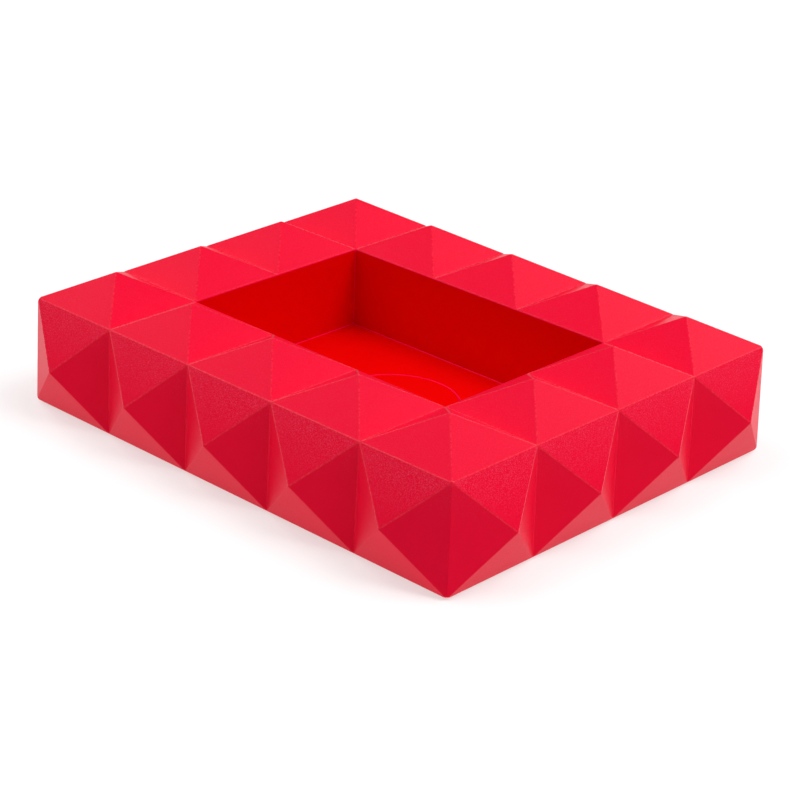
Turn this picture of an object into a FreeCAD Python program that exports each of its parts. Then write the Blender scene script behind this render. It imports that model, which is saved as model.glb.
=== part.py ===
import FreeCAD, Part
import math
import os
from FreeCAD import Vector

# A faceted casting mould with a push-out disc in the floor of its pocket.
# Millimetres, +Z up, +X along the long side. The origin is the middle of the footprint, on the
# surface that the mould stands on.

# Outside: a plain block of square cells. Every cell of the border round the pocket, and every cell
# of the four sides, carries a four-facet stud. The pocket takes the place of the cells in the middle.
# The sides lean in by SIDE_DRAFT from bottom to top, so the outermost cells on top are that much narrower.
CELL = 30.0
CELLS_X = 5
CELLS_Y = 4
BORDER_CELLS = 1
STUD_RISE = 7.9
BLOCK_HEIGHT = 29.2
SIDE_DRAFT = 0.7
POCKET_DEPTH = 22.6

# The block is one hollow moulding, open below: a tub for the pocket hangs inside an outer wall.
OUTER_WALL = 3.0
TOP_SKIN = 3.0
POCKET_WALL = 2.4
FLOOR_SKIN = 2.4
RIB_THICKNESS = 1.8
BOSS_RADIUS = 3.75
BOSS_INSET = 14.0

# The plate that closes the block sits in a rebate, flush with the bottom edge.
PLATE_THICKNESS = 2.4
REBATE_WIDTH = 1.5
PLATE_GAP = 0.2

# Four soft pads in shallow recesses keep the block just clear of the surface.
PAD_RADIUS = 8.0
PAD_THICKNESS = 1.4
PAD_PROUD = 0.6
PAD_INSET = 12.0

# Self-tapping countersunk screws, 2.9 mm thread, driven up through the plate.
SCREW_LENGTH = 10.0
SCREW_TIP = 1.6
SCREW_SHANK_RADIUS = 1.2
SCREW_HEAD_RADIUS = 2.7
SCREW_HEAD_HEIGHT = 1.5
SCREW_HEAD_SINK = 0.1
SCREW_SLOT_WIDTH = 0.8
SCREW_SLOT_LENGTH = 3.0
SCREW_SLOT_DEPTH = 0.9
PILOT_RADIUS = 1.25
PLATE_HOLE_RADIUS = 1.6

# The disc sits flush in the pocket floor: a flange on a sealing ring, and a spigot that a finger
# reaches through the hole in the plate.
SEAT_RADIUS = 17.6
DISC_GAP = 0.1
FLANGE_THICKNESS = 2.0
RIM_CHAMFER = 0.25
SPIGOT_RADIUS = 12.7
SPIGOT_GAP = 0.3
SPIGOT_LENGTH = 1.8
DISH_RADIUS = 10.0
DISH_DEPTH = 0.6
RING_THICKNESS = 0.8
RING_GAP = 0.1
RING_INSET = 0.35
SEAT_BOSS_RADIUS = 21.0
FINGER_HOLE_RADIUS = 14.0

# Worked out from the values above.
BLOCK_X = CELLS_X * CELL
BLOCK_Y = CELLS_Y * CELL
POCKET_X = BLOCK_X - 2 * BORDER_CELLS * CELL
POCKET_Y = BLOCK_Y - 2 * BORDER_CELLS * CELL
BLOCK_LOW = PAD_PROUD
BLOCK_TOP = BLOCK_LOW + BLOCK_HEIGHT
FLOOR_TOP = BLOCK_TOP - POCKET_DEPTH
PLATE_TOP = BLOCK_LOW + PLATE_THICKNESS
STIFFENER_TOP = BLOCK_TOP - TOP_SKIN / 4
FLANGE_LOW = FLOOR_TOP - FLANGE_THICKNESS
LEDGE_TOP = FLANGE_LOW - RING_THICKNESS
DISC_LOW = FLANGE_LOW - SPIGOT_LENGTH


def box(size_x, size_y, low, high, x=0.0, y=0.0):
    """An upright block between two heights, centred on x, y."""
    corner = Vector(x - size_x / 2, y - size_y / 2, low)
    return Part.makeBox(size_x, size_y, high - low, corner)


def cylinder(radius, low, high, x=0.0, y=0.0):
    """An upright cylinder between two heights."""
    return Part.makeCylinder(radius, high - low, Vector(x, y, low))


def cell_lines(count, set_in=0.0):
    """The lines of a row of cells centred on zero, with the two ends set in by this much."""
    lines = [(i - count / 2) * CELL for i in range(count + 1)]
    lines[0] += set_in
    lines[-1] -= set_in
    return lines


def pyramid(corners, apex):
    """A solid from a flat ring of corners to one apex."""
    ring = list(zip(corners, corners[1:] + corners[:1]))
    faces = [Part.Face(Part.makePolygon(corners + corners[:1]))]
    for first, second in ring:
        faces.append(Part.Face(Part.makePolygon([first, second, apex, first])))
    return Part.Solid(Part.Shell(faces))


def stud(corners):
    """A pyramid on four corners, listed so that the block's outside is on the side it rises to."""
    middle = (corners[0] + corners[1] + corners[2] + corners[3]) * 0.25
    outward = (corners[1] - corners[0]).cross(corners[2] - corners[1]).normalize()
    return pyramid(corners, middle + outward * STUD_RISE)


def top_studs(height):
    """Upward studs over the border cells, their bases at this height."""
    lines_x = cell_lines(CELLS_X, SIDE_DRAFT)
    lines_y = cell_lines(CELLS_Y, SIDE_DRAFT)
    studs = []
    for left, right in zip(lines_x, lines_x[1:]):
        for front, back in zip(lines_y, lines_y[1:]):
            over_pocket_x = abs(left + right) / 2 < POCKET_X / 2
            over_pocket_y = abs(front + back) / 2 < POCKET_Y / 2
            if not (over_pocket_x and over_pocket_y):
                ring = [(left, front), (right, front), (right, back), (left, back)]
                studs.append(stud([Vector(x, y, height) for x, y in ring]))
    return studs


def side_studs(count, half_depth):
    """The row of studs along the side that faces -Y, for a row of cells this far from the middle."""
    low = cell_lines(count)
    high = cell_lines(count, SIDE_DRAFT)
    studs = []
    for i in range(count):
        studs.append(stud([
            Vector(low[i], -half_depth, BLOCK_LOW),
            Vector(low[i + 1], -half_depth, BLOCK_LOW),
            Vector(high[i + 1], SIDE_DRAFT - half_depth, BLOCK_TOP),
            Vector(high[i], SIDE_DRAFT - half_depth, BLOCK_TOP),
        ]))
    return studs


def all_side_studs():
    """One row of studs round the four sides, each as tall as the block."""
    studs = []
    for turn, count, half_depth in (
        (0, CELLS_X, BLOCK_Y / 2),
        (90, CELLS_Y, BLOCK_X / 2),
        (180, CELLS_X, BLOCK_Y / 2),
        (270, CELLS_Y, BLOCK_X / 2),
    ):
        for shape in side_studs(count, half_depth):
            shape.rotate(Vector(0, 0, 0), Vector(0, 0, 1), turn)
            studs.append(shape)
    return studs


def plain_block():
    """The block without its studs, each side leaning in towards the top."""
    rings = []
    for height, set_in in ((BLOCK_LOW, 0.0), (BLOCK_TOP, SIDE_DRAFT)):
        x = BLOCK_X / 2 - set_in
        y = BLOCK_Y / 2 - set_in
        corners = [Vector(-x, -y, height), Vector(x, -y, height), Vector(x, y, height), Vector(-x, y, height)]
        rings.append(Part.makePolygon(corners + corners[:1]))
    return Part.makeLoft(rings, True, True)


def screw_places():
    """Six screws, each on a rib: four beside the pocket's corners and two at the short sides."""
    places = [(side * (BLOCK_X / 2 - BOSS_INSET), 0.0) for side in (-1, 1)]
    for side_x in (-1, 1):
        for side_y in (-1, 1):
            places.append((side_x * POCKET_X / 2, side_y * (BLOCK_Y / 2 - BOSS_INSET)))
    return places


def inside_hollow():
    """The space under the skin, which follows the studs on top and is straight at the sides."""
    inner_x = BLOCK_X - 2 * OUTER_WALL
    inner_y = BLOCK_Y - 2 * OUTER_WALL
    ceiling = BLOCK_TOP - TOP_SKIN
    hollow = box(inner_x, inner_y, BLOCK_LOW, ceiling)
    reach = box(inner_x, inner_y, ceiling, ceiling + STUD_RISE)
    return hollow.multiFuse([peak.common(reach) for peak in top_studs(ceiling)])


def ribs():
    """Ribs from the tub to the outer wall, under every line between two border cells."""
    tub_x = POCKET_X / 2 + POCKET_WALL / 2
    tub_y = POCKET_Y / 2 + POCKET_WALL / 2
    length_x = BLOCK_X / 2 - OUTER_WALL / 2 - tub_x
    length_y = BLOCK_Y / 2 - OUTER_WALL / 2 - tub_y
    walls = []
    for side in (-1, 1):
        for x in cell_lines(CELLS_X)[1:-1]:
            y = side * (tub_y + length_y / 2)
            walls.append(box(RIB_THICKNESS, length_y, PLATE_TOP, STIFFENER_TOP, x, y))
        for y in cell_lines(CELLS_Y)[1:-1]:
            x = side * (tub_x + length_x / 2)
            walls.append(box(length_x, RIB_THICKNESS, PLATE_TOP, STIFFENER_TOP, x, y))
    return walls


def outer_shell():
    block = plain_block().multiFuse(top_studs(BLOCK_TOP) + all_side_studs())
    tub_x = POCKET_X + 2 * POCKET_WALL
    tub_y = POCKET_Y + 2 * POCKET_WALL
    tub = box(tub_x, tub_y, FLOOR_TOP - FLOOR_SKIN, STIFFENER_TOP)
    seat_boss = cylinder(SEAT_BOSS_RADIUS, PLATE_TOP, FLOOR_TOP - FLOOR_SKIN / 2)
    bosses = [cylinder(BOSS_RADIUS, PLATE_TOP, STIFFENER_TOP, x, y) for x, y in screw_places()]
    shell = block.cut(inside_hollow()).multiFuse([tub, seat_boss] + ribs() + bosses)

    rebate_x = BLOCK_X - 2 * REBATE_WIDTH
    rebate_y = BLOCK_Y - 2 * REBATE_WIDTH
    pilot_top = BLOCK_LOW + SCREW_HEAD_SINK + SCREW_LENGTH + SCREW_TIP
    openings = [
        box(POCKET_X, POCKET_Y, FLOOR_TOP, BLOCK_TOP + STUD_RISE),
        box(rebate_x, rebate_y, BLOCK_LOW, PLATE_TOP),
        cylinder(SEAT_RADIUS, LEDGE_TOP, FLOOR_TOP),
        cylinder(SPIGOT_RADIUS + SPIGOT_GAP, PLATE_TOP, LEDGE_TOP),
    ]
    openings += [cylinder(PILOT_RADIUS, PLATE_TOP, pilot_top, x, y) for x, y in screw_places()]
    return shell.cut(openings).removeSplitter()


def pad_places():
    """The pads' middles by name, one near each corner."""
    places = {}
    for end, side_x in (("left", -1), ("right", 1)):
        for edge, side_y in (("front", -1), ("back", 1)):
            x = side_x * (BLOCK_X / 2 - PAD_INSET)
            y = side_y * (BLOCK_Y / 2 - PAD_INSET)
            places[f"foot_pad_{edge}_{end}"] = (x, y)
    return places


def foot_pad(x, y):
    return cylinder(PAD_RADIUS, 0.0, PAD_THICKNESS, x, y)


def base_plate():
    plate_x = BLOCK_X - 2 * (REBATE_WIDTH + PLATE_GAP)
    plate_y = BLOCK_Y - 2 * (REBATE_WIDTH + PLATE_GAP)
    plate = box(plate_x, plate_y, BLOCK_LOW, PLATE_TOP)
    openings = [cylinder(FINGER_HOLE_RADIUS, BLOCK_LOW, PLATE_TOP)]
    for x, y in pad_places().values():
        openings.append(cylinder(PAD_RADIUS + PLATE_GAP, BLOCK_LOW, PAD_THICKNESS, x, y))
    for x, y in screw_places():
        openings.append(cylinder(PLATE_HOLE_RADIUS, BLOCK_LOW, PLATE_TOP, x, y))
        openings.append(screw_head(x, y, BLOCK_LOW, SCREW_HEAD_SINK))
    return plate.cut(openings)


def screw_head(x, y, low, sink):
    """A countersunk head, or the seat for one, sunk by this much above the low end."""
    head_low = low + sink
    cone_height = SCREW_HEAD_HEIGHT
    cone = Part.makeCone(SCREW_HEAD_RADIUS, SCREW_SHANK_RADIUS, cone_height, Vector(x, y, head_low))
    return cone.fuse(cylinder(SCREW_HEAD_RADIUS, low, head_low, x, y)).removeSplitter()


def base_screw(x, y):
    head_low = BLOCK_LOW + SCREW_HEAD_SINK
    shank_top = head_low + SCREW_LENGTH - SCREW_TIP
    head = Part.makeCone(SCREW_HEAD_RADIUS, SCREW_SHANK_RADIUS, SCREW_HEAD_HEIGHT, Vector(x, y, head_low))
    shank = cylinder(SCREW_SHANK_RADIUS, head_low + SCREW_HEAD_HEIGHT, shank_top, x, y)
    tip = Part.makeCone(SCREW_SHANK_RADIUS, SCREW_SHANK_RADIUS / 4, SCREW_TIP, Vector(x, y, shank_top))
    slot_top = head_low + SCREW_SLOT_DEPTH
    slots = [
        box(SCREW_SLOT_LENGTH, SCREW_SLOT_WIDTH, head_low, slot_top, x, y),
        box(SCREW_SLOT_WIDTH, SCREW_SLOT_LENGTH, head_low, slot_top, x, y),
    ]
    return head.multiFuse([shank, tip]).cut(slots).removeSplitter()


def release_disc():
    radius = SEAT_RADIUS - DISC_GAP
    flange = cylinder(radius, FLANGE_LOW, FLOOR_TOP - RIM_CHAMFER)
    rim = Part.makeCone(radius, radius - RIM_CHAMFER, RIM_CHAMFER, Vector(0, 0, FLOOR_TOP - RIM_CHAMFER))
    spigot = cylinder(SPIGOT_RADIUS, DISC_LOW, FLANGE_LOW)
    sphere_radius = (DISH_RADIUS ** 2 + DISH_DEPTH ** 2) / (2 * DISH_DEPTH)
    dish = Part.makeSphere(sphere_radius, Vector(0, 0, DISC_LOW + DISH_DEPTH - sphere_radius))
    return flange.multiFuse([rim, spigot]).cut(dish).removeSplitter()


def disc_seal():
    outside = cylinder(SEAT_RADIUS - DISC_GAP - RING_INSET, LEDGE_TOP, FLANGE_LOW)
    return outside.cut(cylinder(SPIGOT_RADIUS + RING_GAP, LEDGE_TOP, FLANGE_LOW))


nodes = {
    "outer_shell": outer_shell(),
    "base_plate": base_plate(),
    "base_screws": Part.makeCompound([base_screw(x, y) for x, y in screw_places()]),
    "release_disc": release_disc(),
    "disc_seal": disc_seal(),
}
for name, (pad_x, pad_y) in pad_places().items():
    nodes[name] = foot_pad(pad_x, pad_y)

os.makedirs("parts", exist_ok=True)
for name, shape in nodes.items():
    shape.exportStep(f"parts/{name}.step")
    print(f"{name}: {len(shape.Solids)} solid(s), {shape.Volume / 1000:.2f} cm3, valid {shape.isValid()}")
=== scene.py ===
import math

import bmesh
import bpy
from mathutils import Euler, Matrix, Vector


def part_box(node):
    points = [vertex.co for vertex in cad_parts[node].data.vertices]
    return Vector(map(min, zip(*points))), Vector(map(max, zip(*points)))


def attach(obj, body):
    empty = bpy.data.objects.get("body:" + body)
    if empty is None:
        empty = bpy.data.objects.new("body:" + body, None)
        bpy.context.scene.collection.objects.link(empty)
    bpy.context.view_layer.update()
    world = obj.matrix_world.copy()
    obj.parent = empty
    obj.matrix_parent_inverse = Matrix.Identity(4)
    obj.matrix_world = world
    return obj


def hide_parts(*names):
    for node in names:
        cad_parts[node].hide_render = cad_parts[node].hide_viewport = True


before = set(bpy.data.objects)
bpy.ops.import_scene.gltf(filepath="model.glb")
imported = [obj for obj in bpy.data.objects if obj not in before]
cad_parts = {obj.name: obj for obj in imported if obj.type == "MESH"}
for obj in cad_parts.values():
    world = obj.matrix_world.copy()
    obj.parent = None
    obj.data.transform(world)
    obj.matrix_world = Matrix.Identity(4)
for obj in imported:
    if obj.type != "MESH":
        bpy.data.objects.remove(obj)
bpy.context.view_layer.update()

# A faceted casting mould: a hollow moulding closed by a plate, on four pads, with a push-out disc
# in the floor of its pocket. All lengths are in metres.
MM = 0.001

# The block is a grid of square cells, each raised into a four-facet stud.
CELL = 30 * MM
CELLS_X = 5
CELLS_Y = 4
BORDER_CELLS = 1
STUD_RISE = 7.9 * MM
SIDE_DRAFT = 0.7 * MM
BLOCK_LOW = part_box("outer_shell")[0].z
BLOCK_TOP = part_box("outer_shell")[1].z - STUD_RISE
POCKET_X = (CELLS_X - 2 * BORDER_CELLS) * CELL
POCKET_Y = (CELLS_Y - 2 * BORDER_CELLS) * CELL

# The moulding is hollow: a tub hangs inside an outer wall, with ribs and screw bosses between them.
OUTER_WALL = 3.0 * MM
TOP_SKIN = 3.0 * MM
TUB_WALL = 2.4 * MM
RIB_THICKNESS = 1.8 * MM
BOSS_RADIUS = 3.75 * MM
BOSS_INSET = 14.0 * MM
REBATE_WIDTH = 1.5 * MM
SEAT_BOSS_RADIUS = 21.0 * MM
PILOT_RADIUS = 1.25 * MM
PILOT_TOP = 12.3 * MM

# The plate, the push-out disc, its seal, the pads and the screws. Their outer sizes come from the
# frame, and the rest is given here.
PLATE_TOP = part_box("base_plate")[1].z
FINGER_HOLE_RADIUS = 14.0 * MM
FLOOR_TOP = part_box("release_disc")[1].z
DISC_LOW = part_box("release_disc")[0].z
DISC_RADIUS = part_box("release_disc")[1].x
SPIGOT_RADIUS = 12.7 * MM
DISH_RADIUS = 10.0 * MM
DISH_DEPTH = 0.6 * MM
SEAT_RADIUS = 17.6 * MM
SEAT_HOLE_RADIUS = 13.0 * MM
SEAL_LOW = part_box("disc_seal")[0].z
SEAL_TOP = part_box("disc_seal")[1].z
SEAL_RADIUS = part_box("disc_seal")[1].x
SEAL_HOLE_RADIUS = 12.8 * MM
PAD_GAP = 0.2 * MM
SCREW_HEAD_RADIUS = 2.7 * MM
SCREW_HEAD_HEIGHT = 1.5 * MM
SINK_HEIGHT = 1.11 * MM
SCREW_SHANK_RADIUS = 1.2 * MM
SCREW_HOLE_RADIUS = 1.6 * MM
SCREW_TIP = 1.6 * MM
SLOT_WIDTH = 0.8 * MM
SLOT_LENGTH = 3.0 * MM
SLOT_DEPTH = 0.9 * MM
THREAD_PITCH = 1.1 * MM
THREAD_DEPTH = 0.3 * MM
SCREW_POINT_RADIUS = 0.3 * MM
GROOVE_DEPTH = 0.3 * MM
GROOVE_WIDTH = 1.2 * MM
PAD_SOFTNESS = 0.3 * MM

# A cutter runs this far past the face that it cuts through.
PAST = 1.0 * MM

# How far the rounding of each kind of edge reaches into the faces beside it.
RIDGE_REACH = 0.22 * MM
VALLEY_REACH = 0.35 * MM
CORNER_REACH = 0.7 * MM
TIP_REACH = 1.5 * MM
RIM_REACH = 0.25 * MM
MOUTH_REACH = 0.3 * MM
EDGE_STEPS = 3

# Only the roundings above the middle of the sides get the painted highlight: a paler line with a sheen.
SHEEN_HIGHLIGHT_LOW = (BLOCK_LOW + BLOCK_TOP) / 2 + 2 * SIDE_DRAFT

# How many steps a turned shape, and an arc in its outline, is made of.
DISC_TURNS = 128
ROUND_TURNS = 96
PAD_TURNS = 64
SCREW_TURNS = 48
SINK_TURNS = 32
PILOT_TURNS = 24
THREAD_TURN_STEPS = 24
DISH_STEPS = 12
ARC_STEPS = 4

# Points nearer than MERGE, or SEAM in a turned shape, are one point, and anything within EDGE of a
# boundary is on it.
MERGE = 0.01 * MM
SEAM = 0.001 * MM
EDGE = 0.1 * MM

# The moulding's finishes, in the order in which its faces count them.
# The last two finishes paint highlight lines on the roundings, in the pocket and high on the outside.
OUTSIDE, POCKET, POCKET_HIGHLIGHT_EDGE, SHEEN_HIGHLIGHT_EDGE = range(4)
PLASTIC_IOR = 1.49

# The grain's pale specks are painted glints, lighter where the light would skim over them: strongest on
# the sides' upper facets. From the top edge they fade down them to a share that stays, and away from
# their slope they drop to a faint one, given as a grey. Noise between GRAIN_LOW and GRAIN_HIGH makes
# the specks, which also give the grain its bumps and roughness. They are drawn 0.3 mm wide, because the
# grain of a real moulding, about 0.1 mm, would be too fine to show.
GRAIN_SIZE = 0.3 * MM
GRAIN_LOW = 0.45
GRAIN_HIGH = 0.75
GLINT_FADE = 12.0 * MM
GLINT_LEAST = 0.25
GLINT_FAINT = "888888"
GLINT_SPAN = 0.15
UPPER_FACET_SLOPE = STUD_RISE / math.hypot(STUD_RISE, CELL / 2)

PADS = [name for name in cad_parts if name.startswith("foot_pad")]

# The studio, in metres where no MM is given, and the lamps: name, turn from the X axis and rise in
# degrees, and power in watts.
TABLE_GLOW = 0.57
TABLE_REACH = 0.9
TABLE_DROP = 0.02 * MM
SHADOW_CARD_WIDTH = 3 * MM
ROOM_SIZE = 10.0
ROOM_LIGHT = 0.02
SOFTBOX_SIZE = 0.8
SOFTBOX_DISTANCE = 1.2
SOFTBOXES = (
    ("key_right", 22, 55, 10.0),
    ("back", 85, 30, 4.0),
    ("left", 180, 30, 3.0),
    ("front_left", 225, 30, 2.0),
    ("front_left_high", 225, 60, 4.0),
    ("above", 0, 90, 2.5),
)

# The camera looks at a point near the middle of the block. Its angles are in degrees, its focal
# length and sensor in millimetres.
CAMERA_AZIMUTH = 42.94
CAMERA_ELEVATION = 24.14
CAMERA_ROLL = 2.2
CAMERA_DISTANCE = 608.4 * MM
CAMERA_AIM = Vector((12.5, -11.1, 15.0)) * MM
CAMERA_FOCAL_LENGTH = 106.6
CAMERA_SENSOR = 36.0
CAMERA_NEAR = 10 * MM


# ---- meshes ----------------------------------------------------------------------------------

def new_object(name, bm):
    """A mesh object at the origin, made from a bmesh that is then freed."""
    mesh = bpy.data.meshes.new(name)
    bm.to_mesh(mesh)
    bm.free()
    piece = bpy.data.objects.new(name, mesh)
    bpy.context.scene.collection.objects.link(piece)
    return piece


def apply_modifiers(piece):
    """Turns what the modifiers show into the piece's own mesh."""
    evaluated = piece.evaluated_get(bpy.context.evaluated_depsgraph_get())
    mesh = bpy.data.meshes.new_from_object(evaluated)
    piece.modifiers.clear()
    piece.data = mesh


def combine(piece, operation, *others):
    """Cuts others from a piece, or joins them to it, and removes them."""
    for other in others:
        step = piece.modifiers.new(operation, "BOOLEAN")
        step.operation = operation
        step.solver = "MANIFOLD"
        step.object = other
        apply_modifiers(piece)
        bpy.data.objects.remove(other)


def rounded(corners):
    """The points of an outline given as (x, y, radius), with every corner that has a radius an arc."""
    points = []
    for k, (x, y, radius) in enumerate(corners):
        corner = Vector((x, y))
        if radius == 0:
            points.append(corner)
            continue
        back = (Vector(corners[k - 1][:2]) - corner).normalized()
        ahead = (Vector(corners[(k + 1) % len(corners)][:2]) - corner).normalized()
        half = back.angle(ahead) / 2
        centre = corner + (back + ahead).normalized() * radius / math.sin(half)
        first = corner + back * radius / math.tan(half) - centre
        last = corner + ahead * radius / math.tan(half) - centre
        turn = -first.angle_signed(last)
        for step in range(ARC_STEPS + 1):
            points.append(centre + Matrix.Rotation(turn * step / ARC_STEPS, 2) @ first)
    return points


def lathe(name, outline, x=0.0, y=0.0, turns=ROUND_TURNS):
    """A closed solid of revolution. The outline runs from the axis below to the axis above, or,
    for a ring, counterclockwise round its section."""
    if outline[0][0] > 0:
        outline = list(outline) + [outline[0]]
    bm = bmesh.new()
    rings = []
    for radius, z in outline:
        if radius == 0:
            rings.append([bm.verts.new((x, y, z))] * turns)
            continue
        ring = []
        for k in range(turns):
            angle = 2 * math.pi * k / turns
            ring.append(bm.verts.new((x + radius * math.cos(angle), y + radius * math.sin(angle), z)))
        rings.append(ring)
    for low, high in zip(rings, rings[1:]):
        for k in range(turns):
            j = (k + 1) % turns
            ring = [low[k], low[j], high[j], high[k]]
            bm.faces.new(list(dict.fromkeys(ring)))
    bmesh.ops.remove_doubles(bm, verts=bm.verts, dist=SEAM)
    return new_object(name, bm)


def slab(name, size_x, size_y, low, high, x=0.0, y=0.0):
    """An upright block between two heights, centred on x, y."""
    bm = bmesh.new()
    bmesh.ops.create_cube(bm, size=1.0)
    middle = Vector((x, y, (low + high) / 2))
    bmesh.ops.scale(bm, vec=(size_x, size_y, high - low), verts=bm.verts)
    bmesh.ops.translate(bm, vec=middle, verts=bm.verts)
    return new_object(name, bm)


def smooth(piece):
    """Shades a piece so that flat facets stay flat and the light rolls over the narrow roundings."""
    piece.data.shade_smooth()
    normals = piece.modifiers.new("facets", "WEIGHTED_NORMAL")
    normals.keep_sharp = True
    normals.weight = 100


# ---- node trees ------------------------------------------------------------------------------

def add(tree, kind, settings=None, inputs=None):
    """Adds a node, sets its properties, and gives each input a value or another node's socket."""
    node = tree.nodes.new(kind)
    for name, value in (settings or {}).items():
        setattr(node, name, value)
    for name, value in (inputs or {}).items():
        socket = node.inputs[name]
        if isinstance(value, bpy.types.NodeSocket):
            tree.links.new(value, socket)
        else:
            socket.default_value = value
    return node


def geometry_tree(name, sockets):
    """An empty geometry tree with these named inputs, and one geometry output."""
    tree = bpy.data.node_groups.new(name, "GeometryNodeTree")
    for label, kind in sockets.items():
        tree.interface.new_socket(label, in_out="INPUT", socket_type=kind)
    tree.interface.new_socket("Mesh", in_out="OUTPUT", socket_type="NodeSocketGeometry")
    return tree


def run_tree(piece, tree, values):
    """Runs a geometry tree on a piece with these input values, and keeps the mesh that it makes."""
    step = piece.modifiers.new(tree.name, "NODES")
    step.node_group = tree
    for item in tree.interface.items_tree:
        if item.in_out == "INPUT" and item.name in values:
            step[item.identifier] = values[item.name]
    apply_modifiers(piece)


def stud_tree():
    """Raises every marked face of a cage into a stud with its apex over the face's middle."""
    tree = geometry_tree("raise_studs", {
        "Cage": "NodeSocketGeometry",
        "Stud Rise": "NodeSocketFloat",
        "Merge Distance": "NodeSocketFloat",
        "Material": "NodeSocketMaterial",
    })
    given = add(tree, "NodeGroupInput").outputs
    marked = add(tree, "GeometryNodeInputNamedAttribute", {"data_type": "INT"}, {"Name": "studded"})
    raised = add(tree, "GeometryNodeExtrudeMesh", {"mode": "FACES"}, {
        "Mesh": given["Cage"],
        "Selection": marked.outputs["Attribute"],
        "Offset Scale": given["Stud Rise"],
        "Individual": True,
    })
    gathered = add(tree, "GeometryNodeScaleElements", {"domain": "FACE"}, {
        "Geometry": raised.outputs["Mesh"],
        "Selection": raised.outputs["Top"],
        "Scale": 0.0,
    })
    merged = add(tree, "GeometryNodeMergeByDistance", None, {
        "Geometry": gathered.outputs["Geometry"],
        "Distance": given["Merge Distance"],
    })
    real = add(tree, "GeometryNodeRealizeInstances", None, {"Geometry": merged.outputs["Geometry"]})
    coated = add(tree, "GeometryNodeSetMaterial", None, {
        "Geometry": real.outputs["Geometry"],
        "Material": given["Material"],
    })
    add(tree, "NodeGroupOutput", None, {"Mesh": coated.outputs["Geometry"]})
    return tree


# ---- the moulding ----------------------------------------------------------------------------

def cell_lines(count, set_in=0.0):
    """The lines of a row of cells centred on zero, with the two ends set in by this much."""
    lines = [(i - count / 2) * CELL for i in range(count + 1)]
    lines[0] += set_in
    lines[-1] -= set_in
    return lines


def ring_of_cells(low, high_x, high_y):
    """The crossings of the cell lines round a rectangle, one list for each of its four sides."""
    return [
        [(i, low) for i in range(low, high_x + 1)],
        [(high_x, j) for j in range(low, high_y + 1)],
        [(i, high_y) for i in range(high_x, low - 1, -1)],
        [(low, j) for j in range(high_y, low - 1, -1)],
    ]


def cage(name, low_height, top_height, floor_height=None):
    """The plain block, with a quad for every cell, marked where it is to be raised into a stud. With
    a floor height it has the pocket and faceted sides. Without one its sides and middle are plain."""
    bm = bmesh.new()
    studded = bm.faces.layers.int.new("studded")
    top = (cell_lines(CELLS_X, SIDE_DRAFT), cell_lines(CELLS_Y, SIDE_DRAFT), top_height)
    low = (cell_lines(CELLS_X), cell_lines(CELLS_Y), low_height)
    floor = (top[0], top[1], floor_height)
    made = {}

    def corner(level, crossing):
        """The vertex at one crossing of one level's lines, made when it is first asked for."""
        place = (level[0][crossing[0]], level[1][crossing[1]], level[2])
        if place not in made:
            made[place] = bm.verts.new(place)
        return made[place]

    for i in range(CELLS_X):
        for j in range(CELLS_Y):
            in_x = BORDER_CELLS <= i < CELLS_X - BORDER_CELLS
            in_y = BORDER_CELLS <= j < CELLS_Y - BORDER_CELLS
            over_pocket = in_x and in_y
            if over_pocket and floor_height:
                continue
            ring = [(i, j), (i + 1, j), (i + 1, j + 1), (i, j + 1)]
            bm.faces.new([corner(top, c) for c in ring])[studded] = not over_pocket
    outside = ring_of_cells(0, CELLS_X, CELLS_Y)
    for side in outside:
        for a, b in zip(side, side[1:]):
            quad = [corner(low, a), corner(low, b), corner(top, b), corner(top, a)]
            bm.faces.new(quad)[studded] = bool(floor_height)
    bm.faces.new(list(reversed([corner(low, c) for side in outside for c in side[:-1]])))
    if floor_height:
        inside = ring_of_cells(BORDER_CELLS, CELLS_X - BORDER_CELLS, CELLS_Y - BORDER_CELLS)
        for side in inside:
            ends = [corner(floor, side[-1]), corner(floor, side[0])]
            bm.faces.new([corner(top, c) for c in side] + ends)
        bm.faces.new([corner(floor, side[0]) for side in inside])
    return new_object(name, bm)


def is_over_pocket(place):
    """Whether a point lies on the pocket's walls or floor, or straight over or under them."""
    return abs(place.x) < POCKET_X / 2 + EDGE and abs(place.y) < POCKET_Y / 2 + EDGE


def coat(piece, *materials):
    """Gives a piece these materials in order."""
    while len(piece.data.materials) < len(materials):
        piece.data.materials.append(None)
    for k, material in enumerate(materials):
        piece.data.materials[k] = material
    while len(piece.data.materials) > len(materials):
        piece.data.materials.pop()


def blunt_corners(piece):
    """Rounds the tips of the block's eight corners, and marks their edges as done."""
    bm = bmesh.new()
    bm.from_mesh(piece.data)
    tips = []
    for vert in bm.verts:
        at_edge_x = abs(abs(vert.co.x) - CELLS_X * CELL / 2) < SIDE_DRAFT + EDGE
        at_edge_y = abs(abs(vert.co.y) - CELLS_Y * CELL / 2) < SIDE_DRAFT + EDGE
        if at_edge_x and at_edge_y:
            tips.append(vert)
    blunted = bm.edges.layers.int.new("blunted")
    patch = bmesh.ops.bevel(
        bm, geom=tips, affect="VERTICES", offset=TIP_REACH, segments=EDGE_STEPS, profile=0.5)
    for edge in patch["edges"]:
        edge[blunted] = 1
    for face in patch["faces"]:
        # Tips high on the block get the painted highlight of the roundings.
        sheen_highlight = face.calc_center_median().z > SHEEN_HIGHLIGHT_LOW
        face.material_index = SHEEN_HIGHLIGHT_EDGE if sheen_highlight else OUTSIDE
    bm.to_mesh(piece.data)
    bm.free()


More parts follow.
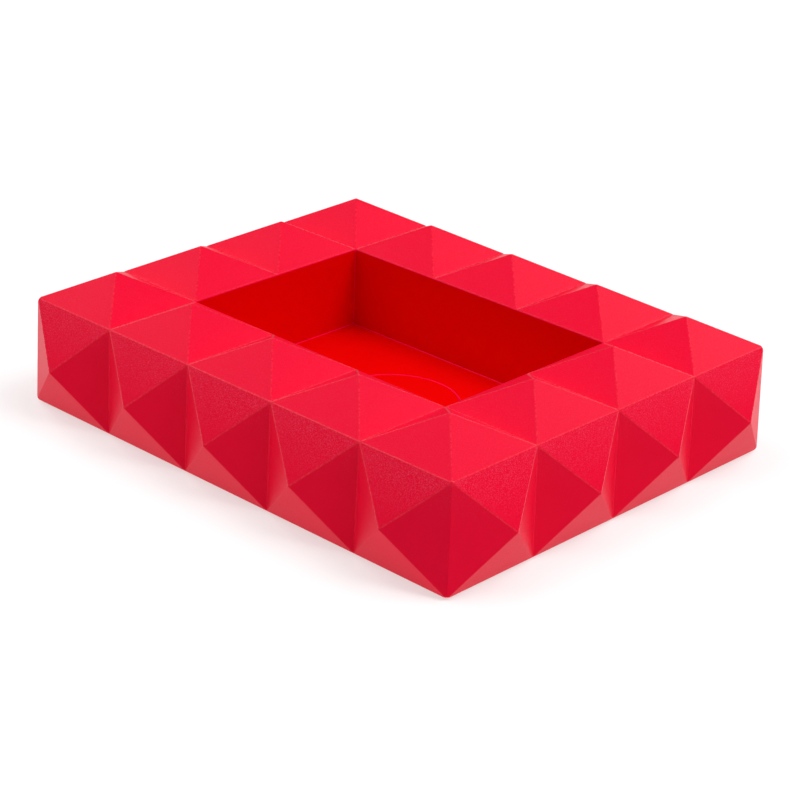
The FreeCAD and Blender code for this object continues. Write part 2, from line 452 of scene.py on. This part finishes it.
def edge_reach(edge):
    """How far this edge of the raised block is rounded."""
    if all(is_over_pocket(v.co) for v in edge.verts):
        at_mouth = all(abs(v.co.z - BLOCK_TOP) < EDGE for v in edge.verts)
        return MOUTH_REACH if at_mouth else RIM_REACH
    if edge.calc_face_angle_signed() < 0:
        return VALLEY_REACH
    heights = sorted(v.co.z for v in edge.verts)
    if heights[0] < BLOCK_LOW + 2 * TIP_REACH and abs(heights[1] - BLOCK_TOP) < 2 * TIP_REACH:
        return CORNER_REACH
    return RIDGE_REACH


def round_edges(piece):
    """Rounds the ridges, the valleys, the block's corners and the pocket. The roundings in the pocket
    have a finish of their own with a painted highlight line, and so do those high on the outside, with
    a paler painted highlight and a sheen."""
    bm = bmesh.new()
    bm.from_mesh(piece.data)
    weight = bm.edges.layers.float.new("bevel_weight_edge")
    blunted = bm.edges.layers.int["blunted"]
    for edge in bm.edges:
        edge[weight] = 0.0 if edge[blunted] else edge_reach(edge) / CORNER_REACH
    bm.to_mesh(piece.data)
    bm.free()
    step = piece.modifiers.new("rounding", "BEVEL")
    step.limit_method = "WEIGHT"
    step.width = CORNER_REACH
    step.segments = EDGE_STEPS
    step.use_clamp_overlap = False
    # Every new rounding first gets the pocket's painted highlight finish.
    step.material = POCKET_HIGHLIGHT_EDGE
    apply_modifiers(piece)
    # Outside the pocket, high roundings get the painted highlight with a sheen, and low ones the plain
    # outside finish.
    for face in piece.data.polygons:
        if face.material_index == POCKET_HIGHLIGHT_EDGE and not is_over_pocket(face.center):
            face.material_index = SHEEN_HIGHLIGHT_EDGE if face.center.z > SHEEN_HIGHLIGHT_LOW else OUTSIDE


def screw_places():
    """Six screws, each on a rib: two at the short sides and four beside the pocket's corners."""
    places = [(side * (CELLS_X * CELL / 2 - BOSS_INSET), 0.0) for side in (-1, 1)]
    for side_x in (-1, 1):
        for side_y in (-1, 1):
            places.append((side_x * POCKET_X / 2, side_y * (CELLS_Y * CELL / 2 - BOSS_INSET)))
    return places


def cylinder(name, radius, low, high, x=0.0, y=0.0, turns=SCREW_TURNS):
    """An upright cylinder between two heights, centred on x, y."""
    return lathe(name, [(0, low), (radius, low), (radius, high), (0, high)], x, y, turns)


def stiffeners():
    """The tub's outside, the disc's seat, the ribs under the lines between cells, and the bosses. Each
    ends inside the skin or the wall that it meets, so that no two faces lie on each other."""
    top = BLOCK_TOP - TOP_SKIN / 4
    made = [
        slab("tub", POCKET_X + 2 * TUB_WALL, POCKET_Y + 2 * TUB_WALL, FLOOR_TOP - TUB_WALL, top),
        cylinder(
            "seat_boss", SEAT_BOSS_RADIUS, PLATE_TOP, FLOOR_TOP - TUB_WALL / 2, turns=ROUND_TURNS),
    ]
    tub_x = POCKET_X / 2 + TUB_WALL / 2
    tub_y = POCKET_Y / 2 + TUB_WALL / 2
    length_x = CELLS_X * CELL / 2 - OUTER_WALL / 2 - tub_x
    length_y = CELLS_Y * CELL / 2 - OUTER_WALL / 2 - tub_y
    for side in (-1, 1):
        for x in cell_lines(CELLS_X)[1:-1]:
            y = side * (tub_y + length_y / 2)
            made.append(slab("rib", RIB_THICKNESS, length_y, PLATE_TOP, top, x, y))
        for y in cell_lines(CELLS_Y)[1:-1]:
            x = side * (tub_x + length_x / 2)
            made.append(slab("rib", length_x, RIB_THICKNESS, PLATE_TOP, top, x, y))
    for x, y in screw_places():
        made.append(cylinder("boss", BOSS_RADIUS, PLATE_TOP, top, x, y))
    return made


def inside_hollow(studs):
    """The space under the skin, which follows the studs above it and is straight at the sides."""
    inner_x = CELLS_X * CELL - 2 * OUTER_WALL
    inner_y = CELLS_Y * CELL - 2 * OUTER_WALL
    space = cage("hollow", BLOCK_LOW - PAST, BLOCK_TOP - TOP_SKIN)
    run_tree(space, studs, {"Stud Rise": STUD_RISE, "Merge Distance": MERGE})
    straight = slab("straight", inner_x, inner_y, BLOCK_LOW - PAST / 2, BLOCK_TOP + STUD_RISE)
    combine(space, "INTERSECT", straight)
    combine(space, "DIFFERENCE", *stiffeners())
    return space


def seat_space():
    """The stepped hole for the disc, with a mouth that is rounded into the pocket's floor."""
    flare = SEAT_RADIUS + RIM_REACH
    outline = rounded([
        (0, PLATE_TOP - PAST, 0),
        (SEAT_HOLE_RADIUS, PLATE_TOP - PAST, 0),
        (SEAT_HOLE_RADIUS, SEAL_LOW, 0),
        (SEAT_RADIUS, SEAL_LOW, 0),
        (SEAT_RADIUS, FLOOR_TOP - RIM_REACH, RIM_REACH),
        (flare, FLOOR_TOP, 0),
        (flare, FLOOR_TOP + PAST, 0),
        (0, FLOOR_TOP + PAST, 0),
    ])
    return lathe("seat", outline, turns=DISC_TURNS)


def faceted_moulding(*finishes):
    """The red moulding. Its finishes are the outside's, the pocket's, and those of the roundings in
    the pocket and outside."""
    studs = stud_tree()
    piece = cage("faceted_moulding", BLOCK_LOW, BLOCK_TOP, FLOOR_TOP)
    run_tree(piece, studs, {
        "Stud Rise": STUD_RISE,
        "Merge Distance": MERGE,
        "Material": finishes[OUTSIDE],
    })
    coat(piece, *finishes)
    for face in piece.data.polygons:
        face.material_index = POCKET if is_over_pocket(face.center) else OUTSIDE
    blunt_corners(piece)
    round_edges(piece)
    rebate_x = CELLS_X * CELL - 2 * REBATE_WIDTH
    rebate_y = CELLS_Y * CELL - 2 * REBATE_WIDTH
    combine(piece, "DIFFERENCE", inside_hollow(studs), seat_space())
    combine(piece, "DIFFERENCE", slab("rebate", rebate_x, rebate_y, BLOCK_LOW - PAST, PLATE_TOP))
    for x, y in screw_places():
        pilot = cylinder("pilot", PILOT_RADIUS, PLATE_TOP - PAST, PILOT_TOP, x, y, PILOT_TURNS)
        combine(piece, "DIFFERENCE", pilot)
    coat(piece, *finishes)
    # The seat's walls and mouth get the pocket's painted highlight finish.
    for face in piece.data.polygons:
        corners = [piece.data.vertices[v].co for v in face.vertices]
        in_seat = all(math.hypot(c.x, c.y) < SEAT_RADIUS + RIM_REACH + EDGE for c in corners)
        if in_seat and all(SEAL_LOW < c.z < BLOCK_TOP for c in corners):
            face.material_index = POCKET_HIGHLIGHT_EDGE
    return piece


def push_out_disc(material, rim_highlight_material):
    """A flange flush with the pocket's floor, a spigot below it, and a dish for the fingertip."""
    dish = []
    for k in range(DISH_STEPS + 1):
        share = k / DISH_STEPS
        dish.append((DISH_RADIUS * share, DISC_LOW + DISH_DEPTH * (1 - share ** 2), 0))
    outline = rounded(dish + [
        (SPIGOT_RADIUS, DISC_LOW, RIM_REACH),
        (SPIGOT_RADIUS, SEAL_TOP, 0),
        (DISC_RADIUS, SEAL_TOP, RIM_REACH / 2),
        (DISC_RADIUS, FLOOR_TOP, RIM_REACH),
        (0, FLOOR_TOP, 0),
    ])
    piece = lathe("push_out_disc", outline, turns=DISC_TURNS)
    coat(piece, material, rim_highlight_material)
    for face in piece.data.polygons:
        x, y, z = face.center
        # The rounded rim gets the pocket's painted highlight, a bright line round the disc.
        at_rim = math.hypot(x, y) > DISC_RADIUS - RIM_REACH and z > FLOOR_TOP - RIM_REACH
        face.material_index = int(at_rim)
    return piece


def flange_seal(material):
    """A flat ring with soft corners, squeezed between the disc's flange and its ledge."""
    soft = (SEAL_TOP - SEAL_LOW) / 4
    piece = lathe("flange_seal", rounded([
        (SEAL_HOLE_RADIUS, SEAL_LOW, soft),
        (SEAL_RADIUS, SEAL_LOW, soft),
        (SEAL_RADIUS, SEAL_TOP, soft),
        (SEAL_HOLE_RADIUS, SEAL_TOP, soft),
    ]))
    coat(piece, material)
    return piece


def foot_pad(node, material):
    """A soft round pad with rings cut into its sole, in the place of one of the frame's pads."""
    low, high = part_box(node)
    radius = (high.x - low.x) / 2
    sole = [(0, low.z, 0)]
    count = int((radius - 2 * PAD_SOFTNESS) / (2 * GROOVE_WIDTH))
    for k in range(count):
        start = GROOVE_WIDTH * (2 * k + 1)
        sole += [
            (start, low.z, 0),
            (start, low.z + GROOVE_DEPTH, 0),
            (start + GROOVE_WIDTH, low.z + GROOVE_DEPTH, 0),
            (start + GROOVE_WIDTH, low.z, 0),
        ]
    outline = rounded(sole + [
        (radius, low.z, PAD_SOFTNESS),
        (radius, high.z, PAD_SOFTNESS),
        (0, high.z, 0),
    ])
    middle = (low + high) / 2
    piece = lathe(node + "_rubber", outline, middle.x, middle.y, PAD_TURNS)
    coat(piece, material)
    return piece


def closing_plate(material):
    """The plate under the block, with a rounded finger hole, countersinks and pad recesses."""
    low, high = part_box("base_plate")
    piece = slab("closing_plate", high.x - low.x, high.y - low.y, low.z, high.z)
    step = piece.modifiers.new("rounding", "BEVEL")
    step.width = RIM_REACH
    step.segments = EDGE_STEPS
    apply_modifiers(piece)
    lip = 2 * RIM_REACH
    combine(piece, "DIFFERENCE", lathe("finger_hole", rounded([
        (0, low.z - PAST, 0),
        (FINGER_HOLE_RADIUS + lip, low.z - PAST, 0),
        (FINGER_HOLE_RADIUS + lip, low.z, 0),
        (FINGER_HOLE_RADIUS, low.z + lip, lip),
        (FINGER_HOLE_RADIUS, high.z + PAST, 0),
        (0, high.z + PAST, 0),
    ])))
    for name in PADS:
        pad_low, pad_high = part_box(name)
        middle = (pad_low + pad_high) / 2
        radius = (pad_high.x - pad_low.x) / 2 + PAD_GAP
        recess = cylinder(
            "recess", radius, low.z - PAST, pad_high.z, middle.x, middle.y, PAD_TURNS)
        combine(piece, "DIFFERENCE", recess)
    screw_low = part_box("base_screws")[0].z
    for x, y in screw_places():
        sink = lathe("countersink", [
            (0, low.z - PAST),
            (SCREW_HEAD_RADIUS, low.z - PAST),
            (SCREW_HEAD_RADIUS, screw_low),
            (SCREW_HOLE_RADIUS, screw_low + SINK_HEIGHT),
            (SCREW_HOLE_RADIUS, high.z + PAST),
            (0, high.z + PAST),
        ], x, y, SINK_TURNS)
        combine(piece, "DIFFERENCE", sink)
    coat(piece, material)
    return piece


def screw_tree():
    """Winds a ridge up a blank screw's shank, and puts the finished screw at every place."""
    tree = geometry_tree("threaded_screws", {
        "Blank": "NodeSocketGeometry",
        "Places": "NodeSocketObject",
        "Root Radius": "NodeSocketFloat",
        "Thread Low": "NodeSocketVector",
        "Thread Turns": "NodeSocketFloat",
        "Thread Length": "NodeSocketFloat",
        "Ridge Radius": "NodeSocketFloat",
        "Material": "NodeSocketMaterial",
    })
    given = add(tree, "NodeGroupInput").outputs
    wound = add(tree, "GeometryNodeCurveSpiral", None, {
        "Resolution": THREAD_TURN_STEPS,
        "Rotations": given["Thread Turns"],
        "Start Radius": given["Root Radius"],
        "End Radius": given["Root Radius"],
        "Height": given["Thread Length"],
    })
    upright = add(tree, "GeometryNodeSetCurveNormal", {"mode": "Z_UP"}, {
        "Curve": wound.outputs["Curve"]})
    section = add(tree, "GeometryNodeCurvePrimitiveCircle", None, {
        "Resolution": 4, "Radius": given["Ridge Radius"]})
    ridge = add(tree, "GeometryNodeCurveToMesh", None, {
        "Curve": upright.outputs["Curve"],
        "Profile Curve": section.outputs["Curve"],
        "Fill Caps": True,
    })
    lifted = add(tree, "GeometryNodeTransform", None, {
        "Geometry": ridge.outputs["Mesh"], "Translation": given["Thread Low"]})
    screw = add(tree, "GeometryNodeMeshBoolean", {"operation": "UNION", "solver": "EXACT"}, {
        "Mesh 2": given["Blank"]})
    tree.links.new(lifted.outputs["Geometry"], screw.inputs["Mesh 2"])
    places = add(tree, "GeometryNodeObjectInfo", None, {"Object": given["Places"]})
    spread = add(tree, "GeometryNodeInstanceOnPoints", None, {
        "Points": places.outputs["Geometry"], "Instance": screw.outputs["Mesh"]})
    real = add(tree, "GeometryNodeRealizeInstances", None, {"Geometry": spread.outputs["Instances"]})
    coated = add(tree, "GeometryNodeSetMaterial", None, {
        "Geometry": real.outputs["Geometry"], "Material": given["Material"]})
    add(tree, "NodeGroupOutput", None, {"Mesh": coated.outputs["Geometry"]})
    return tree


def threaded_screws(material):
    """Six countersunk self-tapping screws, all one piece because they are all the same. The blank
    is turned, its cross recess cut, and its thread wound on."""
    low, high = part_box("base_screws")
    shoulder = low.z + SCREW_HEAD_HEIGHT
    root_radius = SCREW_SHANK_RADIUS - THREAD_DEPTH
    tip_low = high.z - SCREW_TIP
    piece = lathe("threaded_screws", rounded([
        (0, low.z, 0),
        (SCREW_HEAD_RADIUS, low.z, RIM_REACH / 4),
        (SCREW_SHANK_RADIUS, shoulder, 0),
        (root_radius, shoulder + THREAD_DEPTH, 0),
        (root_radius, tip_low, 0),
        (SCREW_POINT_RADIUS, high.z, 0),
        (0, high.z, 0),
    ]), turns=SCREW_TURNS)
    for length, width in ((SLOT_LENGTH, SLOT_WIDTH), (SLOT_WIDTH, SLOT_LENGTH)):
        combine(piece, "DIFFERENCE", slab("slot", length, width, low.z - PAST, low.z + SLOT_DEPTH))
    bm = bmesh.new()
    for x, y in screw_places():
        bm.verts.new((x, y, 0))
    places = new_object("screw_places", bm)
    thread_low = shoulder + 2 * THREAD_DEPTH
    run_tree(piece, screw_tree(), {
        "Places": places,
        "Root Radius": root_radius,
        "Thread Low": (0, 0, thread_low),
        "Thread Turns": (tip_low - thread_low) / THREAD_PITCH,
        "Thread Length": tip_low - thread_low,
        "Ridge Radius": THREAD_DEPTH,
        "Material": material,
    })
    bpy.data.objects.remove(places)
    return piece


# ---- materials -------------------------------------------------------------------------------

def linear(code):
    """The linear colour of an sRGB hex code."""
    shares = [int(code[i:i + 2], 16) / 255 for i in (0, 2, 4)]
    return [s / 12.92 if s <= 0.04045 else ((s + 0.055) / 1.055) ** 2.4 for s in shares] + [1.0]


def new_material(name):
    """An empty material, and its node tree."""
    material = bpy.data.materials.new(name)
    material.use_nodes = True
    material.node_tree.nodes.clear()
    return material, material.node_tree


def speckle(tree, size, low, high, least=0.0, most=1.0):
    """Random specks of about this size: least where the noise is under low, and most over high."""
    place = add(tree, "ShaderNodeTexCoord").outputs["Object"]
    noise = add(tree, "ShaderNodeTexNoise", None, {
        "Vector": place, "Scale": 1 / size, "Detail": 2.0, "Roughness": 0.6})
    specks = add(tree, "ShaderNodeMapRange", None, {
        "Value": noise.outputs["Fac"],
        "From Min": low,
        "From Max": high,
        "To Min": least,
        "To Max": most,
    })
    return specks.outputs["Result"]


def surfaced(material, tree, inputs):
    """Ends a material with one Principled surface."""
    surface = add(tree, "ShaderNodeBsdfPrincipled", None, inputs)
    add(tree, "ShaderNodeOutputMaterial", None, {"Surface": surface.outputs["BSDF"]})
    return material


def painted_glint_strength(tree):
    """Where the painted glints of the grain show: full on the sides' upper facets, fading down them,
    and faint on every other facet.
    """
    coordinates = add(tree, "ShaderNodeTexCoord").outputs
    place = add(tree, "ShaderNodeSeparateXYZ", None, {"Vector": coordinates["Object"]}).outputs
    facing = add(tree, "ShaderNodeSeparateXYZ", None, {"Vector": coordinates["Normal"]}).outputs
    fade = add(tree, "ShaderNodeMapRange", None, {
        "Value": place["Z"],
        "From Min": BLOCK_TOP - GLINT_FADE,
        "From Max": BLOCK_TOP,
        "To Min": GLINT_LEAST,
    })
    ramp = add(tree, "ShaderNodeValToRGB", None, {"Fac": facing["Z"]})
    stops = ramp.color_ramp.elements
    stops[0].position = UPPER_FACET_SLOPE - GLINT_SPAN
    stops[1].position = UPPER_FACET_SLOPE + GLINT_SPAN
    for stop in stops:
        stop.color = linear(GLINT_FAINT)
    stops.new(UPPER_FACET_SLOPE).color = linear("ffffff")
    share = add(tree, "ShaderNodeMath", {"operation": "MULTIPLY"}, {
        0: ramp.outputs["Color"], 1: fade.outputs["Result"]})
    return share.outputs["Value"]


def spark_eroded_polypropylene():
    """The outside: a satin red with fine pits, and pale specks painted on them as the glints where the
    light would skim over them.
    """
    material, tree = new_material("spark_eroded_polypropylene")
    specks = speckle(tree, GRAIN_SIZE, GRAIN_LOW, GRAIN_HIGH)
    share = add(tree, "ShaderNodeMath", {"operation": "MULTIPLY"}, {
        0: specks, 1: painted_glint_strength(tree)})
    # The paler second colour is the painted glint of the specks.
    colour = add(tree, "ShaderNodeMixRGB", None, {
        "Fac": share.outputs["Value"],
        "Color1": linear("ee0030"),
        "Color2": linear("f04c68"),
    })
    pits = add(tree, "ShaderNodeBump", None, {
        "Height": specks, "Strength": 0.15, "Distance": 0.02 * MM})
    return surfaced(material, tree, {
        "Base Color": colour.outputs["Color"],
        "Roughness": speckle(tree, GRAIN_SIZE, GRAIN_LOW, GRAIN_HIGH, least=0.4, most=0.3),
        "IOR": PLASTIC_IOR,
        "Specular IOR Level": 0.1,
        "Specular Tint": linear("ffa0b8"),
        "Normal": pits.outputs["Normal"],
    })


def polished_shaded_polypropylene():
    """The pocket, polished so that a casting lets go, without grain, in a deeper, purer red that is
    painted shade: the red light bouncing round the pocket.
    """
    material, tree = new_material("polished_shaded_polypropylene")
    return surfaced(material, tree, {
        # The deeper red without blue is painted shade from the red light bouncing in the pocket; the
        # lack of grain is the polish.
        "Base Color": linear("e40000"),
        "Roughness": speckle(tree, 6 * MM, 0.3, 0.7, least=0.35, most=0.45),
        "IOR": PLASTIC_IOR,
        "Specular IOR Level": 0.05,
    })


def pocket_highlight_polypropylene():
    """The pocket's narrow roundings and the disc's rim, with a painted highlight: a magenta line along
    each, where the rounding would catch the light.
    """
    material, tree = new_material("pocket_highlight_polypropylene")
    return surfaced(material, tree, {
        "Base Color": linear("f0003e"),
        "Roughness": speckle(tree, 0.8 * MM, 0.3, 0.7, least=0.3, most=0.45),
        "IOR": PLASTIC_IOR,
        "Specular IOR Level": 0.08,
    })


def sheen_highlight_polypropylene():
    """The roundings high on the outside, with a painted highlight: a paler red and a pale sheen that
    draw a light line along each, where the rounding would catch the light.
    """
    material, tree = new_material("sheen_highlight_polypropylene")
    return surfaced(material, tree, {
        "Base Color": linear("ee1436"),
        "Roughness": speckle(tree, 0.8 * MM, 0.3, 0.7, least=0.2, most=0.35),
        "IOR": PLASTIC_IOR,
        "Specular IOR Level": 0.2,
        "Sheen Weight": 0.6,
        "Sheen Roughness": 0.3,
        "Sheen Tint": linear("ffe8ec"),
    })


def silicone_rubber():
    """The seal: a milky, slightly see-through white."""
    material, tree = new_material("silicone_rubber")
    return surfaced(material, tree, {
        "Base Color": linear("dcdcd8"),
        "Roughness": speckle(tree, 1.5 * MM, 0.3, 0.7, least=0.4, most=0.55),
        "IOR": 1.41,
        "Subsurface Weight": 0.3,
        "Subsurface Radius": (1, 1, 1),
        "Subsurface Scale": 0.5 * MM,
    })


def pad_rubber():
    """The foot pads: a dark, dull grey with a fine dusty mottle."""
    material, tree = new_material("pad_rubber")
    dust = speckle(tree, 0.7 * MM, 0.35, 0.7)
    grit = add(tree, "ShaderNodeBump", None, {
        "Height": dust, "Strength": 0.3, "Distance": 0.04 * MM})
    return surfaced(material, tree, {
        "Base Color": linear("1e1e20"),
        "Roughness": speckle(tree, 0.7 * MM, 0.35, 0.7, least=0.65, most=0.85),
        "Normal": grit.outputs["Normal"],
    })


def zinc_plated_steel():
    """The screws: a bright, faintly blue metal with cloudy patches in its shine."""
    material, tree = new_material("zinc_plated_steel")
    return surfaced(material, tree, {
        "Base Color": linear("c4c8cc"),
        "Metallic": 1.0,
        "Roughness": speckle(tree, 0.9 * MM, 0.3, 0.7, least=0.22, most=0.42),
    })


# ---- making ----------------------------------------------------------------------------------

outside = spark_eroded_polypropylene()
inside = polished_shaded_polypropylene()
pocket_highlight = pocket_highlight_polypropylene()
sheen_highlight = sheen_highlight_polypropylene()
rubber = pad_rubber()

pieces = [
    (faceted_moulding(outside, inside, pocket_highlight, sheen_highlight), "outer_shell", "block", "red_polypropylene"),
    (closing_plate(outside), "base_plate", "block", "red_polypropylene"),
    (threaded_screws(zinc_plated_steel()), "base_screws", "block", "zinc_plated_steel"),
    (push_out_disc(inside, pocket_highlight), "release_disc", "disc", "red_polypropylene"),
    (flange_seal(silicone_rubber()), "disc_seal", "disc", "silicone_rubber"),
]
pieces += [(foot_pad(node, rubber), node, "block", "pad_rubber") for node in PADS]
for piece, node, body, slot in pieces:
    smooth(piece)
    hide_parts(node)
    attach(piece, body)


# ---- floor, light and camera -----------------------------------------------------------------

def table_finish(material, tree, code, glow):
    """A dull, glowing finish that can't be seen from behind, so that the underside can be looked at."""
    surface = add(tree, "ShaderNodeBsdfPrincipled", None, {
        "Base Color": linear(code),
        "Roughness": 0.9,
        "Specular IOR Level": 0.0,
        "Emission Color": linear("ffffff"),
        "Emission Strength": glow,
    })
    seen = add(tree, "ShaderNodeMixShader", None, {
        "Fac": add(tree, "ShaderNodeNewGeometry").outputs["Backfacing"],
        1: surface.outputs["BSDF"],
        2: add(tree, "ShaderNodeBsdfTransparent").outputs["BSDF"],
    })
    add(tree, "ShaderNodeOutputMaterial", None, {"Surface": seen.outputs["Shader"]})
    return material


def glowing_acrylic():
    """The table's white sheet, which glows more toward its ends, where less light falls on it."""
    material, tree = new_material("glowing_acrylic")
    place = add(tree, "ShaderNodeTexCoord").outputs["Object"]
    away = add(tree, "ShaderNodeVectorMath", {"operation": "LENGTH"}, {0: place})
    glow = add(tree, "ShaderNodeMapRange", None, {
        "Value": away.outputs["Value"],
        "From Min": TABLE_REACH / 3,
        "From Max": TABLE_REACH * 3 / 4,
        "To Min": TABLE_GLOW,
        "To Max": 1.0,
    })
    return table_finish(material, tree, "b4b4b4", glow.outputs["Result"])


def table():
    """A white table that glows, with a dark card frame lying on it under the edges of the plate: a
    painted shadow that keeps the gap under the plate dark.
    """
    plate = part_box("base_plate")[1]
    bm = bmesh.new()
    rings = []
    for half_x, half_y in (
        (plate.x - SHADOW_CARD_WIDTH, plate.y - SHADOW_CARD_WIDTH),
        (plate.x, plate.y),
        (TABLE_REACH, TABLE_REACH),
    ):
        corners = ((-half_x, -half_y), (half_x, -half_y), (half_x, half_y), (-half_x, half_y))
        rings.append([bm.verts.new((x, y, -TABLE_DROP)) for x, y in corners])
    bm.faces.new(rings[0])
    for index, (inner, outer) in enumerate(zip(rings, rings[1:])):
        for k in range(4):
            j = (k + 1) % 4
            face = bm.faces.new([outer[k], outer[j], inner[j], inner[k]])
            face.material_index = 1 - index
    ground = new_object("studio_table", bm)
    # The dark card is a painted shadow in the gap under the plate's edge.
    coat(ground, glowing_acrylic(), table_finish(*new_material("painted_shadow_card"), "202020", 0.0))


def backdrop():
    """A white room far beyond the table that is seen but lights nothing."""
    room = slab("white_backdrop", ROOM_SIZE, ROOM_SIZE, -ROOM_SIZE / 2, ROOM_SIZE / 2)
    material, tree = new_material("white_paper")
    white = add(tree, "ShaderNodeEmission", None, {"Color": linear("ffffff"), "Strength": 1.0})
    add(tree, "ShaderNodeOutputMaterial", None, {"Surface": white.outputs["Emission"]})
    coat(room, material)
    room.visible_diffuse = False
    room.visible_glossy = False
    room.visible_transmission = False
    room.visible_shadow = False


def softbox(name, turn, rise, power):
    """A square softbox at this turn from the X axis and this rise, in degrees, facing the block."""
    light = bpy.data.lights.new(name, "AREA")
    light.shape = "SQUARE"
    light.size = SOFTBOX_SIZE
    light.energy = power
    lamp = bpy.data.objects.new(name, light)
    bpy.context.scene.collection.objects.link(lamp)
    away = Vector((SOFTBOX_DISTANCE, 0, 0))
    away.rotate(Euler((0, -math.radians(rise), math.radians(turn))))
    lamp.location = away
    lamp.rotation_euler = (-away).to_track_quat("-Z", "Y").to_euler()


def camera():
    """Looks down at the front corner, nearly level, through a long lens."""
    lens = bpy.data.cameras.new("camera")
    lens.lens = CAMERA_FOCAL_LENGTH
    lens.sensor_width = CAMERA_SENSOR
    lens.clip_start = CAMERA_NEAR
    eye = bpy.data.objects.new("camera", lens)
    bpy.context.scene.collection.objects.link(eye)
    turn = (
        Matrix.Rotation(math.radians(CAMERA_AZIMUTH), 4, "Z")
        @ Matrix.Rotation(math.radians(90 - CAMERA_ELEVATION), 4, "X")
        @ Matrix.Rotation(math.radians(CAMERA_ROLL), 4, "Z")
    )
    back = Matrix.Translation((0, 0, CAMERA_DISTANCE))
    eye.matrix_world = Matrix.Translation(CAMERA_AIM) @ turn @ back
    bpy.context.scene.camera = eye


def room_light():
    """The little light that comes from all round."""
    world = bpy.data.worlds.new("white_room")
    world.use_nodes = True
    background = world.node_tree.nodes["Background"]
    background.inputs["Color"].default_value = linear("ffffff")
    background.inputs["Strength"].default_value = ROOM_LIGHT
    bpy.context.scene.world = world


table()
backdrop()
for name, turn, rise, power in SOFTBOXES:
    softbox(name, turn, rise, power)
room_light()
camera()
bpy.context.scene.view_settings.view_transform = "Standard"
